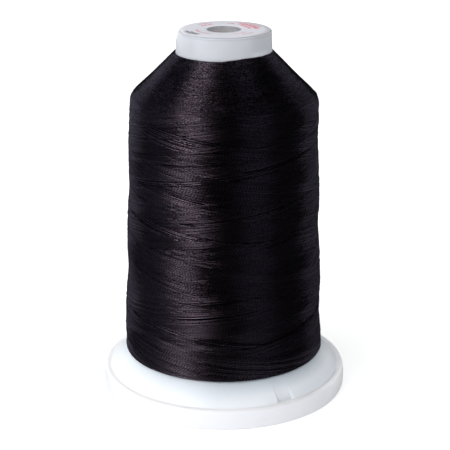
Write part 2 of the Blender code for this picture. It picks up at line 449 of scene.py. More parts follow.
def side_radius(height):
    """The package's radius from its foot to the corner of its shoulder, without the bands."""
    low = calc("MINIMUM", height, SHOULDER_CORNER)
    share = (low - PACKAGE_FOOT) / (SHOULDER_CORNER - PACKAGE_FOOT)
    cone = share * (PACKAGE_TOP_RADIUS - PACKAGE_FOOT_RADIUS) + PACKAGE_FOOT_RADIUS
    above = calc("MAXIMUM", height - SHOULDER_CORNER, 0.0)
    rounded = SHOULDER_ROUND - calc("SQRT", SHOULDER_ROUND ** 2 - above * above)
    return cone - share * (1.0 - share) * (4 * PACKAGE_WAIST) - rounded


def band_swell(azimuth, height):
    """How far the bands of the crossed winding stand proud."""
    turns = (height - TWIST_PEAK) / TWIST_PITCH
    from_left = azimuth + math.pi / 2
    fade = 1.0 - ramp(height, TWIST_PEAK, SWELL_TOP)
    wave = calc("COSINE", from_left - turns * TAU) * TWIST_SWELL
    crossing = calc("COSINE", azimuth * 2.0 + turns * (2 * TAU)) * (0.4 * TWIST_SWELL)
    foot = (1.0 - height / SWELL_TOP) * FOOT_SWELL * calc("COSINE", from_left)
    foot = foot * ramp(height, PACKAGE_FOOT - 1.0, PACKAGE_FOOT + 1.0)
    return (wave + crossing) * fade * ramp(height, PACKAGE_FOOT, PACKAGE_FOOT + 3.0) + foot


print("side radius at foot, middle, corner:", [round(side_radius(h), 2) for h in (12.1, 50.0, 90.6)])

# %% The corner, and what the winding trees share
def corner_swell(azimuth, height):
    """The corner of the shoulder is fuller on the left, and hollow just above it on the right."""
    side = azimuth.math("SINE")
    full = hump(height, *CORNER_FULL) * (side * -1.0).math("MAXIMUM", 0.0)
    hollow = hump(height, *CORNER_HOLLOW) * side.math("MAXIMUM", 0.0)
    return full * CORNER_FULL_BY - hollow * CORNER_HOLLOW_BY


def random_nodes(tree, low, high, identity, seed):
    """A random number for each identity, always the same for the same seed."""
    node = add_node(tree, "FunctionNodeRandomValue", {"data_type": "FLOAT"})
    for slot in node.inputs:
        if slot.name == "Min" and slot.type == "VALUE":
            slot.default_value = low
        if slot.name == "Max" and slot.type == "VALUE":
            slot.default_value = high
    feed(node, ID=identity, Seed=seed)
    return Term([slot for slot in node.outputs if slot.type == "VALUE" and slot.enabled][0])


def on_axis(tree, azimuth, radius, height):
    """A place given by azimuth, radius and height in millimetres, as a vector in metres."""
    across = azimuth.math("SINE") * radius * MM
    return vector(tree, across, azimuth.math("COSINE") * radius * -MM, height * MM)


def store(tree, geometry, name, value):
    """The geometry with this attribute on its points."""
    node = add_node(tree, "GeometryNodeStoreNamedAttribute", {"data_type": "FLOAT", "domain": "POINT"},
                    Geometry=geometry, Name=name)
    plug(value, [slot for slot in node.inputs if slot.name == "Value" and slot.enabled][0])
    return out(node)


print("formulas as nodes: ready")

# %% [markdown]
# A strand is swept with Curve to Mesh. Its section is an oval with a few sides, wider along the package than
# it is thick, because turns press each other flat. Each point carries three attributes for the material:
# how far along the thread it is, where round the strand it is, and the strand's own tone.

# %% Lines and sweep, shared by both winding trees
def copied_lines(tree, terms, amount):
    """Straight splines, one for each pass or arch: the copies, each one's number, and the place along it."""
    line = out(add_node(tree, "GeometryNodeCurvePrimitiveLine"))
    points = out(add_node(tree, "GeometryNodeResampleCurve", Curve=line, Count=terms["Points"]))
    copies = add_node(tree, "GeometryNodeDuplicateElements", {"domain": "SPLINE"}, Geometry=points,
                      Amount=amount)
    return out(copies), out(copies, 1), out(add_node(tree, "GeometryNodeSplineParameter"))


def sweep(tree, splines, terms, along, tone):
    """Splines to strands: an oval section, with the attributes that the thread's material reads."""
    upright = out(add_node(tree, "GeometryNodeSetCurveNormal", {"mode": "Z_UP"}, Curve=splines))
    marked = store(tree, upright, "along", along)
    marked = store(tree, marked, "tone", tone)
    circle = add_node(tree, "GeometryNodeCurvePrimitiveCircle", {"mode": "RADIUS"}, Radius=0.5 * MM,
                      Resolution=terms["Sides"])
    scale = vector(tree, terms["Thickness"], terms["Width"], 1.0)
    oval = out(add_node(tree, "GeometryNodeTransform", Geometry=out(circle), Scale=scale))
    round_share = out(add_node(tree, "GeometryNodeSplineParameter"))
    section = store(tree, oval, "around", round_share)
    tube = add_node(tree, "GeometryNodeCurveToMesh", Curve=marked, Profile_Curve=section, Fill_Caps=True)
    smooth = out(add_node(tree, "GeometryNodeSetShadeSmooth", Geometry=out(tube)))
    real = out(add_node(tree, "GeometryNodeRealizeInstances", Geometry=smooth))
    return out(add_node(tree, "GeometryNodeSetMaterial", Geometry=real, Material=terms["Material"]))


print("sweep: ready")

# %% [markdown]
# A pass is counted a little past the package's foot and top. The part beyond is squeezed flat against the
# foot or the top by a smooth maximum and minimum, so that it becomes the round turn where the thread comes
# back. Slow noise lets each pass dive under its neighbours and come up again, as real turns do.

# %% Tree for the passes up and down the side
OVERRUN = 2.0               # how far a pass is counted past the foot and the top
TURN_ROUND = 1.2            # how softly it turns back there
PLY_SHIFT = 41 * PLY_LENGTH + 0.19      # no two passes side by side have their plies in step


def side_winding_tree():
    tree, terms, result = geometry_tree("side_winding", {
        "Passes": PASSES, "Points": 200, "Sides": 5, "Hand": 1.0, "Pitch": TWIST_PITCH,
        "Foot": 12.5, "Top": 93.0, "Newest Azimuth": 0.0, "Step": TAU / PASSES, "Lift": 0.12,
        "Layer Rise": 0.36, "Wander": 0.4, "Width": STRAND_WIDE, "Thickness": STRAND_THICK,
        "Unevenness": 0.12, "Dive": 0.4, "Sink": 0.0, "Dullest": 0.0, "Brightest": 1.0, "Streaks": 1.9,
        "Seed": 1, "Material": None})
    copies, number, share = copied_lines(tree, terms, terms["Passes"])
    age = number / terms["Passes"]
    run = terms["Top"] - terms["Foot"]
    climb = terms["Foot"] - OVERRUN + (run + 2 * OVERRUN) * share
    height = climb.math("SMOOTH_MAX", terms["Foot"], TURN_ROUND).math("SMOOTH_MIN", terms["Top"], TURN_ROUND)
    wander = random_nodes(tree, -1.0, 1.0, number, terms["Seed"]) * terms["Step"] * terms["Wander"]
    azimuth = terms["Newest Azimuth"] + number * terms["Step"] + wander
    azimuth = azimuth + terms["Hand"] * TAU * climb / terms["Pitch"]
    depth = random_nodes(tree, -1.0, 0.0, number, terms["Seed"] + 7.0) * terms["Unevenness"]
    slow = noise(tree, vector(tree, share * 14.0, number * 0.45, terms["Seed"]), 0.0)
    dive = (slow - 0.5) * terms["Dive"]
    shown = hump(climb, terms["Foot"] - 1.8, terms["Foot"] + 0.2, terms["Top"] - 0.2, terms["Top"] + 1.8)
    dive = dive - (1.0 - shown) * terms["Sink"]
    radius = side_radius(height) + band_swell(azimuth, height)
    radius = radius + corner_swell(azimuth, height) + depth + dive
    radius = radius + (age - 0.7) * terms["Layer Rise"] - terms["Thickness"] / 2.0 + terms["Lift"]
    placed = out(add_node(tree, "GeometryNodeSetPosition", Geometry=copies,
                          Position=on_axis(tree, azimuth, radius, height)))
    drift = noise(tree, vector(tree, azimuth * 0.35, number * 0.12, terms["Seed"]), 1.0)
    along = azimuth * MEAN_RADIUS * terms["Hand"] + number * PLY_SHIFT + drift * 6.0
    tone = random_nodes(tree, 0.0, 1.0, number, terms["Seed"] + 3.0)
    tone = tone * (terms["Brightest"] - terms["Dullest"]) + terms["Dullest"]
    streak = noise(tree, vector(tree, azimuth * 0.5, number * 0.37, terms["Seed"] + 5.0), 1.0)
    tone = tone + (streak - 0.5) * terms["Streaks"]
    feed(result, Geometry=sweep(tree, placed, terms, along, tone))
    return tree


side_winding = side_winding_tree()
RISING_EDGE = math.radians(26.4)
FALLING_EDGE = math.radians(275.3)
rising = grown("strands_rising", side_winding,
               {"Hand": 1.0, "Newest Azimuth": RISING_EDGE, "Pitch": 28.5, "Seed": 1}, black_thread)
falling = grown("strands_falling", side_winding,
                {"Hand": -1.0, "Newest Azimuth": FALLING_EDGE, "Seed": 2}, black_thread)
print("side strands:", triangles(rising), "and", triangles(falling), "triangles")

# %% [markdown]
# Where one family of turns ends in a long edge, its last few strands ride over all the others and stand a
# little apart, with deep shade between them. They are the fine dark and light lines that cross the
# package. The same tree makes them, lifted: a stretch of strands painted lighter, with nearly black
# strands between them as painted shade.

# %% Strands that ride on top
ON_TOP = (
    # hand, azimuth at height 0 in degrees, strands, lowest and highest height in mm
    (1.0, 65.0, 4, 22.3, 28.7),
    (1.0, 265.0, 2, 31.0, 34.3),
    (1.0, 210.0, 2, 36.0, 38.5),
    (1.0, 8.0, 3, 53.6, 57.0),
    (1.0, 15.0, 3, 56.5, 59.5),
    (1.0, 242.0, 4, 60.5, 67.6),
    (1.0, 72.0, 3, 69.0, 76.2),
    (1.0, 355.0, 2, 75.0, 78.5),
    (1.0, 66.0, 2, 76.8, 80.4),
    (1.0, 357.0, 4, 83.3, 87.8),
    (-1.0, 305.0, 4, 22.9, 28.6),
    (-1.0, 354.0, 5, 55.3, 60.2),
    (-1.0, 146.0, 3, 66.0, 69.3),
    (-1.0, 355.0, 3, 82.2, 86.2),
    (-1.0, 23.0, 4, 83.6, 88.6),
    # the far side
    (1.0, 265.0, 4, 18.0, 25.0),
    (1.0, 72.0, 3, 33.0, 40.0),
    (1.0, 8.0, 3, 38.0, 45.0),
    (1.0, 242.0, 4, 76.0, 82.0),
    (-1.0, 200.0, 3, 26.0, 33.0),
    (-1.0, 23.0, 4, 40.0, 46.0),
    (-1.0, 305.0, 3, 62.0, 69.0),
    (-1.0, 147.0, 4, 77.0, 84.0),
)
STRANDS_OF_A_GROUP = (
    # shift in steps, lift in mm, dullest and brightest tone
    (0.0, 0.20, 1.0, 2.4),          # painted light: strands of a lighter tone
    (0.5, 0.19, -1.65, -1.35),      # painted shade: nearly black strands between them
)
ON_TOP_STEP = 2.3 * TAU / PASSES


def joined(name, pieces):
    """One mesh object out of several that share a material."""
    bpy.ops.object.select_all(action="DESELECT")
    for piece in pieces:
        piece.select_set(True)
    bpy.context.view_layer.objects.active = pieces[0]
    bpy.ops.object.join()
    pieces[0].name = name
    pieces[0].data.name = name
    return pieces[0]


def add_strands_on_top():
    lines = []
    for index, (hand, azimuth, strands, low, high) in enumerate(ON_TOP):
        values = {"Hand": hand, "Passes": strands, "Step": ON_TOP_STEP, "Layer Rise": 0.05, "Dive": 0.2,
                  "Sink": 0.6, "Wander": 0.25, "Foot": low, "Top": high,
                  "Points": int((high - low + 2 * OVERRUN) * 4.0)}
        for part, (shift, lift, dullest, brightest) in enumerate(STRANDS_OF_A_GROUP):
            values["Newest Azimuth"] = math.radians(azimuth) + shift * ON_TOP_STEP
            values.update({"Lift": lift, "Dullest": dullest, "Brightest": brightest,
                           "Seed": 20 + 2 * index + part})
            lines.append(grown(f"line_{index}_{part}", side_winding, values, black_thread))
    return joined("strands_on_top", lines)


on_top = add_strands_on_top()
print("on top:", 2 * len(ON_TOP), "groups of strands,", triangles(on_top), "triangles")

# %% [markdown]
# ## The shoulder
#
# Each layer of the package stops a little lower than the one under it, so the shoulder is made of the
# places where the thread turns back: short arches, flat on top, thousands of them, each beside the last.
# They are copies of one short spline, set round the shoulder in a long spiral.

# %% Tree for the arches on the shoulder
ARCH_ROUND = 0.1            # how softly an arch bends at its top
PILED = (-0.01, 0.08, 0.18, 0.42)       # in turns from the front, where the arches climb higher


def shoulder_tree():
    tree, terms, result = geometry_tree("shoulder_turns", {
        "Arches": 2840, "Points": 9, "Sides": 4, "Per Round": 84.3, "Reach": 0.34, "Helix": 0.14,
        "Foot": 91.2, "Top": 106.62, "Level": 105.8, "Pile": 0.8, "Ragged": 0.14, "Corner": 94.14,
        "Sum": SHOULDER_SUM, "Width": STRAND_WIDE, "Thickness": STRAND_THICK, "Unevenness": 0.1, "Seed": 11,
        "Material": None})
    copies, number, share = copied_lines(tree, terms, terms["Arches"])
    age = number / terms["Arches"]
    apex = terms["Top"] - age * (terms["Top"] - terms["Foot"])
    apex = apex + random_nodes(tree, -1.0, 1.0, number, terms["Seed"]) * terms["Unevenness"]
    sloping = apex.ramp(terms["Corner"] - 0.01, terms["Corner"] + 0.01)
    radius = (terms["Sum"] - apex) * sloping + side_radius(apex) * (1.0 - sloping)
    radius = radius + corner_swell(number / terms["Per Round"] * TAU, apex)
    radius = (radius - terms["Thickness"] / 2.0).math("MAXIMUM", NECK_RADIUS + 0.13)
    turn = (number / terms["Per Round"] + 0.5).math("FRACT") - 0.5
    piled = hump(turn, *PILED)
    wobble = noise(tree, vector(tree, turn * 60.0, terms["Seed"]), 1.0) - 0.5
    ragged = random_nodes(tree, -1.0, 1.0, number, terms["Seed"] + 5.0) * terms["Ragged"]
    apex = apex.math("MINIMUM", piled * terms["Pile"] + wobble * 0.5 + ragged + terms["Level"])
    offset = (share - 0.5) * 2.0 * terms["Reach"]
    drop = offset * radius * terms["Helix"]
    height = apex - ((drop * drop + ARCH_ROUND ** 2).math("SQRT") - ARCH_ROUND)
    azimuth = number / terms["Per Round"] * TAU + offset
    placed = out(add_node(tree, "GeometryNodeSetPosition", Geometry=copies,
                          Position=on_axis(tree, azimuth, radius, height)))
    tone = random_nodes(tree, -0.43, 1.43, number, terms["Seed"] + 3.0)
    along = (azimuth - number * 37.0) * 20.0
    feed(result, Geometry=sweep(tree, placed, terms, along, tone))
    return tree


arches = grown("strands_shoulder", shoulder_tree(), {}, black_thread)
print("shoulder:", triangles(arches), "triangles")

# %% [markdown]
# ## Turned pieces
#
# The plastic pieces and the deeper layers of the package are turned: an outline is swept round the axis. A
# lathe leaves hard corners that no moulding has, so the corners of the outline are cut by small curves.

# %% Turning an outline
SHARP_FROM = math.radians(40.0)         # edges sharper than this stay sharp in the shading


def softened(rows, parts):
    """Rows (radius, height, cut) as a closed outline, with a small curve that far round each corner."""
    points = []
    corners = [Vector((radius, height)) for radius, height, cut in rows]
    for index, (radius, height, cut) in enumerate(rows):
        if cut == 0.0:
            points.append((radius, height))
            continue
        here = corners[index]
        before = corners[index - 1] - here
        after = corners[(index + 1) % len(rows)] - here
        start = here + before.normalized() * min(cut, before.length * 0.45)
        end = here + after.normalized() * min(cut, after.length * 0.45)
        for part in range(parts + 1):
            t = part / parts
            point = start * (1 - t) ** 2 + here * 2 * t * (1 - t) + end * t ** 2
            points.append((point.x, point.y))
    return points


def turned(name, outline, material, steps=180):
    """A closed outline of (radius, height) points, turned about Z, its outer side running downwards."""
    count = len(outline)
    points = []
    for step in range(steps):
        angle = TAU * step / steps
        points += [(r * math.sin(angle) * MM, -r * math.cos(angle) * MM, h * MM) for r, h in outline]
    faces = []
    for step in range(steps):
        here = step * count
        there = (step + 1) % steps * count
        for index in range(count):
            following = (index + 1) % count
            faces.append((here + index, here + following, there + following, there + index))
    mesh = bpy.data.meshes.new(name)
    mesh.from_pydata(points, [], faces)
    mesh.shade_smooth()
    mesh.set_sharp_from_angle(angle=SHARP_FROM)
    mesh.materials.append(material)
    return new_object(name, mesh)


print("turning: ready")

# %% Deeper layers of the package
SUNK = 0.50                 # how far they lie below the package's side
SEAT = 0.05                 # between them and the plastic
LAYERS_SUM = 120.5          # their radius and height together, all along the shoulder
LAYERS_CORNER = 26.6        # radius near which the shoulder ends
FLANGE_MEETS_BARREL = 26.0  # height; it needn't be exact, because the barrel is so slender


def package_layers():
    """What shows between the strands: the package's form, half a millimetre below its surface."""
    bore = barrel_radius(NECK_HEIGHT) + SEAT
    outline = []
    for share in (0.0, 0.3, 0.6, 0.9):
        radius = bore + (LAYERS_CORNER - bore) * share
        outline.append((radius, LAYERS_SUM - radius))
    for height in np.linspace(94.0, PACKAGE_FOOT + 0.6, 40):
        outline.append((side_radius(height) - SUNK, height))
    foot = PACKAGE_FOOT_RADIUS - 0.6
    outline.append((foot, flange_height(foot) + SEAT))
    inside = flange_height(barrel_radius(FLANGE_MEETS_BARREL)) + SEAT
    outline.append((barrel_radius(inside) + SEAT, inside))
    piece = turned("package_layers", outline, black_thread, steps=120)
    for vertex in piece.data.vertices:
        radius = math.hypot(vertex.co.x, vertex.co.y)
        height = vertex.co.z / MM
        if radius / MM > side_radius(height) - 2 * SUNK and height < 95.0:
            swell = band_swell(math.atan2(vertex.co.x, -vertex.co.y), height) * MM
            vertex.co.x *= 1.0 + swell / radius
            vertex.co.y *= 1.0 + swell / radius
    return piece


layers = package_layers()
print("deeper layers:", triangles(layers), "triangles")

# %% [markdown]
# ## White plastic
#
# The spool and its base are natural polypropylene: bright, a little see-through, satin. Light enters it and
# comes out again nearby, so its shadows are pale and cool. Where black thread touches it the plastic loses
# light and looks greyer, and that grey is painted shade; each side also has its own painted light and shade.
# Both mouldings share a surface: a fine grain from the mould, and clouds that are barely duller or shinier.
# That surface is a node group, so each material sets its own strength.

# %% Moulded surface, shared by the plastic pieces
LEAST_ROUGHNESS = 0.28      # a render's denoiser takes anything below 0.274 for a mirror, and leaves spots


def tinted(tree, colour, factor):
    """The colour times a grey factor."""
    return out(add_node(tree, "ShaderNodeVectorMath", {"operation": "SCALE"}, Vector=colour, Scale=factor))


def moulded_surface():
    tree, terms, result = new_tree(
        "moulded_surface",
        {"Colour": (0.8, 0.8, 0.8, 1.0), "Cloudiness": 0.04, "Roughness": 0.35, "Grain Depth": 1.0},
        {"Colour": "NodeSocketColor", "Roughness": "NodeSocketFloat", "Height": "NodeSocketFloat"},
        "ShaderNodeTree")
    clouds = noise_at(tree, 11.0, 2.0)
    grain = noise_at(tree, 0.22, 1.0)
    pores = noise_at(tree, 1.3, 2.0).ramp(0.35, 0.65)
    colour = tinted(tree, terms["Colour"], 1.0 - (clouds - 0.5).math("ABSOLUTE") * terms["Cloudiness"])
    roughness = terms["Roughness"] + (clouds - 0.5) * 0.16 + (pores - 0.5) * 0.05
    roughness = roughness.math("MAXIMUM", LEAST_ROUGHNESS)
    height = (grain + pores * 0.6) * terms["Grain Depth"]
    feed(result, Colour=colour, Roughness=roughness, Height=height)
    return tree


moulded = moulded_surface()
print("group:", moulded.name, "with", len(moulded.nodes), "nodes")

# %% Plastic materials
# Painted shade and painted light, unless said otherwise: each colour below multiplies the plastic's own
# colour where its mask is 1, darker below 1 and lighter above it.
SHADE_BY_THE_THREAD = (0.485, 0.53, 0.56)     # painted shade: what is left of the flange's light where the thread touches it
FLANGE_FRONT_SHADE = (0.925, 0.93, 0.935)
FLANGE_LOW_RIGHT_SHADE = (0.89, 0.905, 0.92)
SHADE_ON_THE_CAP = (0.69, 0.69, 0.705)        # painted shade: the barrel under the cap is wrapped in thread
CAP_LEFT_SHADE = (0.91, 0.91, 0.905)
CAP_RIGHT_SHADE = (0.94, 0.94, 0.94)
CAP_FOOT_RIGHT_LIGHT = (1.14, 1.14, 1.14)
CAP_EDGE_SHADE = (0.84, 0.84, 0.85)           # painted shade, which keeps the rounded edge from catching more light than the wall
# Painted shade in the pin hole: beige deep down, cooler at its top edge, and darker on its right side.
SHADE_IN_THE_HOLE = (0.93, 0.86, 0.83)
HOLE_EDGE_SHADE = (0.76, 0.78, 0.83)
HOLE_RIGHT_SHADE = (0.66, 0.67, 0.68)         # this side faces the key light, but lies deep in the cap's shade
# Painted shade on the base's rim in front and at the right, painted light on it at the left and on the whole
# base at the far right.
RIM_FRONT_SHADE = (0.93, 0.92, 0.90)
RIM_RIGHT_SHADE = (0.93, 0.93, 0.93)
RIM_LEFT_LIGHT = (1.10, 1.07, 1.03)
# Partly dust and partly painted shade: a darker line along the seam at the right, towards the front.
RIM_SEAM_DUST_AND_SHADE = (0.80, 0.785, 0.77)
BASE_FAR_RIGHT_LIGHT = (1.12, 1.13, 1.155)    # painted light: light comes through it


def plastic(name, colour, roughness, depth, cloudiness):
    """See-through satin plastic. Returns the material and the Term of its surface colour."""
    material, tree, shader = new_material(name)
    surface = add_node(tree, "ShaderNodeGroup", {"node_tree": moulded}, Colour=(*colour, 1.0),
                       Cloudiness=cloudiness, Roughness=roughness, Grain_Depth=1.0)
    bump = add_node(tree, "ShaderNodeBump", Strength=0.35, Distance=0.02 * MM,
                    Height=out(surface, "Height"))
    height, radius = places(tree)[2:]
    seam = band(radius, 35.6, 36.8, 0.3) * band(height, 5.7, 7.0, 0.2)
    feed(shader, Base_Color=out(surface, "Colour"), Normal=out(bump), Roughness=out(surface, "Roughness"),
         Subsurface_Weight=1.0 - seam, Subsurface_Radius=(1.0, 1.0, 1.0), Subsurface_Scale=depth * MM)
    return material, out(surface, "Colour")


def paint_spool_shade_and_light(material, colour):
    """Painted shade where the spool's light is lost in the thread, up the flange and on the cap, and painted
    light and shade by side.
    """
    tree = material.node_tree
    x, y, height, radius = places(tree)
    cap = height.ramp(80.0, 81.0)
    # Painted light and shade by side: the thread's painted shade on the flange is weaker on the left, where
    # the key light falls, stronger on the right, and weaker again at the far right towards the back.
    side = x.ramp(-28.0, 0.0) * 0.33 + x.ramp(0.0, 15.0) * 0.2 + 0.62
    side = side - x.ramp(26.0, 30.0) * y.ramp(-13.0, -5.0) * 0.5
    flange = height.ramp(6.3, 12.8).math("POWER", 1.6) * (1.0 - cap) * side
    hole = (1.0 - radius.ramp(5.2, 5.6)) * cap
    right = band(x, 8.2, 12.6, 0.8) * cap
    by_thread = 1.0 - height.ramp(107.5, 108.5)
    feed(tree.nodes["Principled BSDF"], Base_Color=shaded(tree, colour, (
        (SHADE_BY_THE_THREAD, flange),
        (SHADE_ON_THE_CAP, cap * (1.0 - hole)),
        (SHADE_IN_THE_HOLE, hole),
        (HOLE_EDGE_SHADE, hole * height.ramp(111.2, 112.6)),
        (HOLE_RIGHT_SHADE, hole * x.ramp(-2.0, 4.5)),
        (CAP_LEFT_SHADE, band(x, -13.2, -8.5, 1.0) * cap),
        (FLANGE_FRONT_SHADE, band(x, -16.0, 4.0, 6.0) * (1.0 - cap)),
        (CAP_RIGHT_SHADE, right * (1.0 - by_thread)),
        (CAP_FOOT_RIGHT_LIGHT, right * by_thread),
        (FLANGE_LOW_RIGHT_SHADE, (1.0 - height.ramp(7.0, 8.6)) * x.ramp(2.0, 26.0)),
        (CAP_EDGE_SHADE, height.ramp(111.8, 112.3) * radius.ramp(12.9, 13.5)))))


def paint_base_shade_light_and_dust(material, colour):
    """Painted shade on the rim at front and right, painted light on it at left and on all the base at far
    right.
    """
    tree = material.node_tree
    x, y, height, radius = places(tree)
    rim = height.ramp(5.3, 5.9)
    seam = band(radius, 36.0, 36.65, 0.15) * x.ramp(20.0, 32.0) * (1.0 - y.ramp(-11.0, -6.0))
    feed(tree.nodes["Principled BSDF"], Base_Color=shaded(tree, colour, (
        (RIM_FRONT_SHADE, rim * (1.0 - y.ramp(-28.0, -18.0))),
        (RIM_RIGHT_SHADE, rim * hump(x, 6.0, 22.0, 26.0, 31.0)),
        (BASE_FAR_RIGHT_LIGHT, x.ramp(31.0, 37.5)),
        (RIM_LEFT_LIGHT, rim * band(radius, 36.0, 36.9, 0.2) * (1.0 - x.ramp(-24.0, -12.0))),
        (RIM_SEAM_DUST_AND_SHADE, rim * seam))))


white_plastic, white_surface = plastic("white_plastic", (0.84, 0.865, 0.905), 0.36, 1.2, 0.05)
paint_spool_shade_and_light(white_plastic, white_surface)
base_plastic, base_surface = plastic("base_plastic", (0.815, 0.825, 0.865), 0.33, 1.2, 0.04)
paint_base_shade_light_and_dust(base_plastic, base_surface)
print("materials:", white_plastic.name, base_plastic.name)

# %% [markdown]
# ## Printed paper
#
# The ring on the cap is thin white paper, printed in red and stamped in black with a plain pattern of bars
# on circles. Each bar is a band of radius times a band of azimuth, and a row of the table says where it lies
# and how it is broken up.

# %% Label paper
PRINT_RED = (0.60, 0.045, 0.085, 1.0)
STAMP_BLACK = (0.035, 0.035, 0.045, 1.0)
PAPER_WHITE = (0.61, 0.61, 0.66)
PRINTED = (
    # inner and outer radius in mm, from and to azimuth in degrees, pitch of the gaps, inked share
    (8.2, 9.0, -157.0, -129.0, 9.0, 0.8),
    (10.4, 11.2, -160.0, -134.0, 5.0, 0.6),
    (9.0, 9.7, 160.0, 173.0, 13.0, 0.9),
    (7.3, 8.5, 98.0, 142.0, 6.2, 0.7),
    (9.1, 10.5, 94.0, 152.0, 7.4, 0.75),
    (11.0, 11.8, 106.0, 160.0, 4.1, 0.6),
    (7.9, 8.4, -88.0, -27.0, 7.6, 0.75),
    (7.4, 7.8, 24.0, 58.0, 6.0, 0.7),
    (9.4, 9.9, 33.0, 62.0, 4.4, 0.65),
)
STAMPED = (
    (10.0, 10.7, -70.0, -43.0, 4.0, 0.8),
    (10.9, 11.7, -79.0, -44.0, 3.1, 0.75),
    (11.9, 12.4, -73.0, -52.0, 4.3, 0.5),
)


def bars(rows, radius, azimuth):
    """Ink mask of all the rows of a table."""
    ink = None
    for inner, outer, start, end, pitch, share in rows:
        gaps = band((azimuth / pitch).math("FRACT"), 0.02, share, 0.02)
        bar = band(radius, inner, outer, 0.04) * band(azimuth, start, end, 0.3) * gaps
        ink = bar if ink is None else ink.math("MAXIMUM", bar)
    return ink


def paper_material():
    material, tree, shader = new_material("label_paper")
    x, y, height, radius = places(tree)
    azimuth = x.math("ARCTAN2", y * -1.0) * math.degrees(1.0)
    fibres = noise_at(tree, 0.35, 3.0)
    patchy = noise_at(tree, 0.5, 1.0).ramp(0.25, 0.45)
    # Painted shade on the paper's cut edge, darker towards the right, and on its outer part at the right;
    # painted light on its outer part at the far left.
    cut_edge = 1.0 - height.ramp(TOP_OF_ALL - 0.04, TOP_OF_ALL - 0.01)
    right_edge_shade = radius.ramp(12.1, 12.7) * x.ramp(2.0, 9.0)
    bright = radius.ramp(11.5, 12.5) * (1.0 - x.ramp(-12.8, -10.5))
    light = (1.03 - fibres * 0.06) * (1.0 - cut_edge * (x.ramp(-13.0, -2.0) * 0.35 + 0.1))
    light = light * (1.0 - right_edge_shade * 0.2) * (bright * 0.13 + 1.0)
    colour = tinted(tree, PAPER_WHITE, light)
    colour = mixed(tree, colour, PRINT_RED, bars(PRINTED, radius, azimuth) * patchy)
    colour = mixed(tree, colour, STAMP_BLACK, bars(STAMPED, radius, azimuth))
    bump = add_node(tree, "ShaderNodeBump", Strength=0.5, Distance=0.02 * MM, Height=fibres)
    feed(shader, Base_Color=colour, Normal=out(bump), Roughness=0.6)
    return material


label_paper = paper_material()
print("material:", label_paper.name, "with", len(label_paper.node_tree.nodes), "nodes")

# %% [markdown]
# ## Spool body, base and label
#
# Each moulding is one outline of radius and height, listed once round its section: down the outer side and
# up the inner one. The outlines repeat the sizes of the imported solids, with their corners softened. The
# flange's edge and the rim of the base nearly touch, as the clipped pieces do, so only a fine line shows.

# %% Spool body
WALL = 1.5
CAP_THICK = 2.0
BARREL_FOOT = 2.3
FLANGE_EDGE_BOTTOM = 5.2
CAP_LEAN = 0.85             # how far the left side of the cap's wall curves in at its top
CAP_LEANS_FROM = 108.6
MEETS_ABOVE = 27.8          # heights near which the flange's two sides meet the barrel, good enough for its
MEETS_BELOW = 25.6          # radius there


def spool_body():
    drop = WALL / math.cos(FLANGE_SLOPE)
    run = (FLANGE_EDGE_BOTTOM + drop - FLANGE_EDGE_HEIGHT) / math.tan(FLANGE_SLOPE)
    top = flange_height(barrel_radius(MEETS_ABOVE))
    under = flange_height(barrel_radius(MEETS_BELOW)) - drop
    ceiling = CAP_TOP - CAP_THICK
    outline = (
        # radius, height, cut
        (HOLE_RADIUS, CAP_TOP, 0.1), (14.2, CAP_TOP, 0.28), (14.21, 111.8, 0.0), (14.25, 110.9, 0.0),
        (14.31, 109.5, 0.0), (14.37, 108.2, 0.0), (NECK_RADIUS, NECK_HEIGHT, 0.0),
        (barrel_radius(top), top, 0.0),
        (FLANGE_EDGE_RADIUS, FLANGE_EDGE_HEIGHT, 0.06), (FLANGE_EDGE_RADIUS, FLANGE_EDGE_BOTTOM, 0.15),
        (FLANGE_EDGE_RADIUS - run, FLANGE_EDGE_BOTTOM, 0.2),
        (barrel_radius(under), under, 0.3),
        (barrel_radius(BARREL_FOOT), BARREL_FOOT, 0.2),
        (barrel_radius(BARREL_FOOT) - WALL, BARREL_FOOT, 0.2),
        (barrel_radius(ceiling) - WALL, ceiling, 0.5), (HOLE_RADIUS, ceiling, 0.3))
    return turned("spool", softened(outline, 4), white_plastic)


def worn_at_left(piece):
    """The cap's edge is rounder on its left side, where its wall curves in."""
    for vertex in piece.data.vertices:
        left = ramp(-vertex.co.x / MM, 4.0, 14.0)
        vertex.co.x += CAP_LEAN * MM * left * ramp(vertex.co.z / MM, CAP_LEANS_FROM, CAP_TOP) ** 2


spool = spool_body()
worn_at_left(spool)
print("spool body:", triangles(spool), "triangles")

# %% [markdown]
# ## Recess for the thread's end
#
# The flange has a shallow recess that runs out to its edge, with a small tooth at one side: the thread's
# end is laid in it before the base is pressed home. It is cut with a Boolean modifier: the cutter is a
# flat outline given thickness, laid on the slope and tilted, so that the cut runs out to nothing.

# %% Cutting the recess
CATCH_AZIMUTH = math.radians(30.7)
CATCH_WIDTH = 5.3
CATCH_RUN = 5.4
CATCH_DEPTH = 0.82
CATCH_DRAFT = 3.6
CATCH_TOOTH = 0.45
TOOTH_START = 2.4           # before the flange's edge
TOOTH_END = 2.1
CUTTER_THICK = 3.0
CUTTER_PAST = 2.0           # how far the cutter reaches past the edge


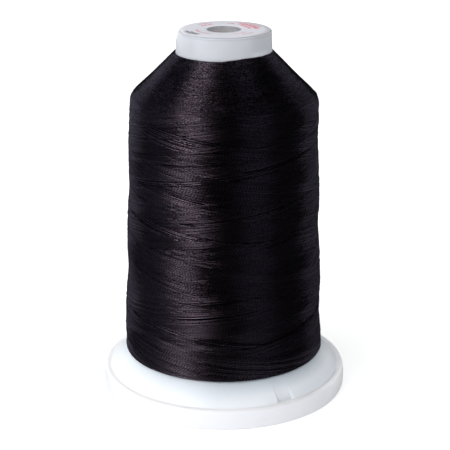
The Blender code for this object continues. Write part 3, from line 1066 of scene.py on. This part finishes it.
def recess_cutter():
    half = CATCH_WIDTH / 2
    outline = [(-half, 0.0), (-half + CATCH_TOOTH, CATCH_RUN - TOOTH_START),
               (-half + CATCH_TOOTH, CATCH_RUN - TOOTH_END), (-half - CATCH_TOOTH, CATCH_RUN + CUTTER_PAST),
               (half, CATCH_RUN + CUTTER_PAST), (half, 0.0)]
    shape = bmesh.new()
    corners = [shape.verts.new((across * MM, -down * MM, 0.0)) for across, down in outline]
    lifted = bmesh.ops.extrude_face_region(shape, geom=[shape.faces.new(corners)])
    corners = [part for part in lifted["geom"] if isinstance(part, bmesh.types.BMVert)]
    bmesh.ops.translate(shape, vec=(0.0, 0.0, CUTTER_THICK * MM), verts=corners)
    right = [corner for corner in corners if corner.co.x > 0.0]
    bmesh.ops.translate(shape, vec=(CATCH_DRAFT * MM, 0.0, 0.0), verts=right)
    bmesh.ops.recalc_face_normals(shape, faces=shape.faces)
    top_radius = FLANGE_EDGE_RADIUS - CATCH_RUN * math.cos(FLANGE_SLOPE)
    start = Vector((0.0, -top_radius, flange_height(top_radius))) * MM
    tilt = FLANGE_SLOPE + math.asin(CATCH_DEPTH / CATCH_RUN)
    place = Matrix.Rotation(CATCH_AZIMUTH, 4, "Z") @ Matrix.Translation(start)
    place = place @ Matrix.Rotation(tilt, 4, "X")
    bmesh.ops.transform(shape, matrix=place, verts=shape.verts)
    mesh = bpy.data.meshes.new("recess_cutter")
    shape.to_mesh(mesh)
    shape.free()
    return new_object("recess_cutter", mesh)


def cut(piece, cutter):
    """The piece's mesh less the cutter's, with the cutter removed afterwards."""
    modifier = piece.modifiers.new("recess", "BOOLEAN")
    modifier.operation = "DIFFERENCE"
    modifier.solver = "EXACT"
    modifier.object = cutter
    depsgraph = bpy.context.evaluated_depsgraph_get()
    mesh = bpy.data.meshes.new_from_object(piece.evaluated_get(depsgraph))
    piece.modifiers.clear()
    bpy.data.objects.remove(cutter, do_unlink=True)
    mesh.name = piece.name
    mesh.shade_smooth()
    mesh.set_sharp_from_angle(angle=SHARP_FROM)
    piece.data = mesh


cut(spool, recess_cutter())
print("spool with its recess:", triangles(spool), "triangles")

# %% Snap base and label
def snap_base():
    edge = FLANGE_EDGE_RADIUS - 0.03
    outline = (
        # radius, height, cut
        (edge, 6.06, 0.0), (36.6, 6.02, 0.15), (37.5, 6.08, 0.3), (37.95, 5.6, 0.3),
        (BASE_RADIUS, 2.6, 2.0), (38.1, 0.0, 0.35), (34.2, 0.0, 0.2), (33.4, 0.8, 0.2),
        (12.9, 0.8, 0.3), (12.9, 7.5, 0.3), (14.0, 7.5, 0.3), (14.0, 2.0, 0.3),
        (35.2, 2.0, 0.3), (35.2, 4.9, 0.2), (edge, 4.9, 0.0))
    return turned("base", softened(outline, 4), base_plastic)


def cap_label():
    """The paper ring, stuck on a little to the right of the axis."""
    under = TOP_OF_ALL - LABEL_THICK
    outline = ((5.15, TOP_OF_ALL, 0.03), (13.45, TOP_OF_ALL, 0.03), (13.5, under, 0.02), (5.15, under, 0.02))
    ring = turned("label", softened(outline, 2), label_paper)
    for vertex in ring.data.vertices:
        radius = math.hypot(vertex.co.x, vertex.co.y) / MM
        vertex.co.x += 0.35 * MM * ramp(radius, 5.3, 13.0)
    return ring


base = snap_base()
label = cap_label()
print("base:", triangles(base), "label:", triangles(label), "triangles")

# %% [markdown]
# ## Stage
#
# The object stands on a lit white table in a white room, as goods are photographed. White plastic and nearly
# black thread need different light: the plastic takes its shade from broad soft light, the thread only
# shows mirrored lights. Cycles lets a light be seen by one kind of ray alone, so the key light is made
# twice, once for diffuse rays and once for glossy ones, and the floor and the world are dark to glossy rays.

# %% Floor, lights and world
WHITE_LIGHT = (1.0, 1.0, 1.0)
COOL_LIGHT = (0.82, 0.95, 1.1)
PALE_LIGHT = (0.93, 0.98, 1.03)
AIM = (0.0, 0.0, 55.0)      # the middle of the package, which every light faces


def seen_by_gloss(tree, plain, glossy):
    """`plain` for every ray but a mirrored one, which sees `glossy`: black paper behind the softboxes."""
    return out(tree.nodes.new("ShaderNodeLightPath"), "Is Glossy Ray") * (glossy - plain) + plain


def add_floor():
    """White floor, lit from below like a light table, so that no shadow shows on it."""
    bpy.ops.mesh.primitive_plane_add(size=6.0)
    floor = bpy.context.object
    floor.name = "floor"
    material, tree, shader = new_material("floor_white")
    grey = seen_by_gloss(tree, 0.93, 0.02)
    colour = add_node(tree, "ShaderNodeCombineColor", Red=grey, Green=grey, Blue=grey)
    feed(shader, Base_Color=out(colour), Roughness=0.9, Specular_IOR_Level=0.0,
         Emission_Color=(1.0, 1.0, 1.0, 1.0), Emission_Strength=seen_by_gloss(tree, 0.22, 0.0))
    floor.data.materials.append(material)


def softbox(name, azimuths, elevations, distance, radiance, colour=WHITE_LIGHT, diffuse=True, glossy=True):
    """A rectangular light that faces the package and covers these angles as seen from it."""
    light = bpy.data.lights.new(name, "AREA")
    light.color = colour
    light.shape = "RECTANGLE"
    light.size = 2 * distance * math.tan(math.radians(azimuths[1] - azimuths[0]) / 2)
    light.size_y = 2 * distance * math.tan(math.radians(elevations[1] - elevations[0]) / 2)
    light.energy = radiance * light.size * light.size_y * math.pi
    lamp = new_object(name, light)
    a = math.radians(sum(azimuths) / 2)
    e = math.radians(sum(elevations) / 2)
    direction = Vector((math.sin(a) * math.cos(e), -math.cos(a) * math.cos(e), math.sin(e)))
    lamp.location = Vector(AIM) * MM + direction * distance
    lamp.rotation_euler = (-direction).to_track_quat("-Z", "Y").to_euler()
    lamp.visible_diffuse = diffuse
    lamp.visible_glossy = glossy


def add_world():
    world = bpy.data.worlds.new("studio")
    bpy.context.scene.world = world
    world.use_nodes = True
    feed(world.node_tree.nodes["Background"], Color=(1.0, 1.0, 1.0, 1.0),
         Strength=seen_by_gloss(world.node_tree, 0.25, 0.008))


bpy.context.scene.view_settings.view_transform = "Standard"
add_floor()
add_world()
softbox("key_left", (-54, -25), (2, 50), 1.0, 2.5, glossy=False)
softbox("key_edge", (-68, -54), (2, 50), 1.0, 1.1, glossy=False)
softbox("key_left_gloss", (-55, -31), (18, 56), 1.0, 4.05, diffuse=False)
softbox("key_edge_gloss", (-69, -59), (18, 56), 1.0, 1.4, diffuse=False)
softbox("side_left", (-112, -68), (14, 38), 1.0, 0.54, COOL_LIGHT)
softbox("fill_right", (24, 58), (2, 50), 1.0, 0.27, COOL_LIGHT, diffuse=False)
softbox("side_right", (58, 110), (2, 50), 1.0, 0.05, COOL_LIGHT)
softbox("back_left", (-160, -120), (-2, 24), 1.0, 1.1, PALE_LIGHT)
softbox("back_right", (110, 155), (-2, 24), 1.0, 0.66, PALE_LIGHT, diffuse=False)
softbox("overhead", (-110, -10), (35, 115), 1.1, 1.15, glossy=False)
softbox("right_wash", (90, 160), (0, 45), 1.1, 0.6, glossy=False)
softbox("left_wash", (-115, -25), (28, 80), 1.2, 0.35, glossy=False)
lights = [item for item in bpy.context.scene.objects if item.type == "LIGHT"]
print("stage: floor, world and", len(lights), "lights")

# %% Tie every piece to the model
for piece in (rising, falling, on_top, arches, layers):
    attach(piece, "root")
    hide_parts("thread_winding")
for piece, node, slot_name in ((spool, "spool_body", "white_plastic"), (base, "snap_base", "base_plastic"),
                               (label, "cap_label", "label_paper")):
    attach(piece, "root")
    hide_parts(node)
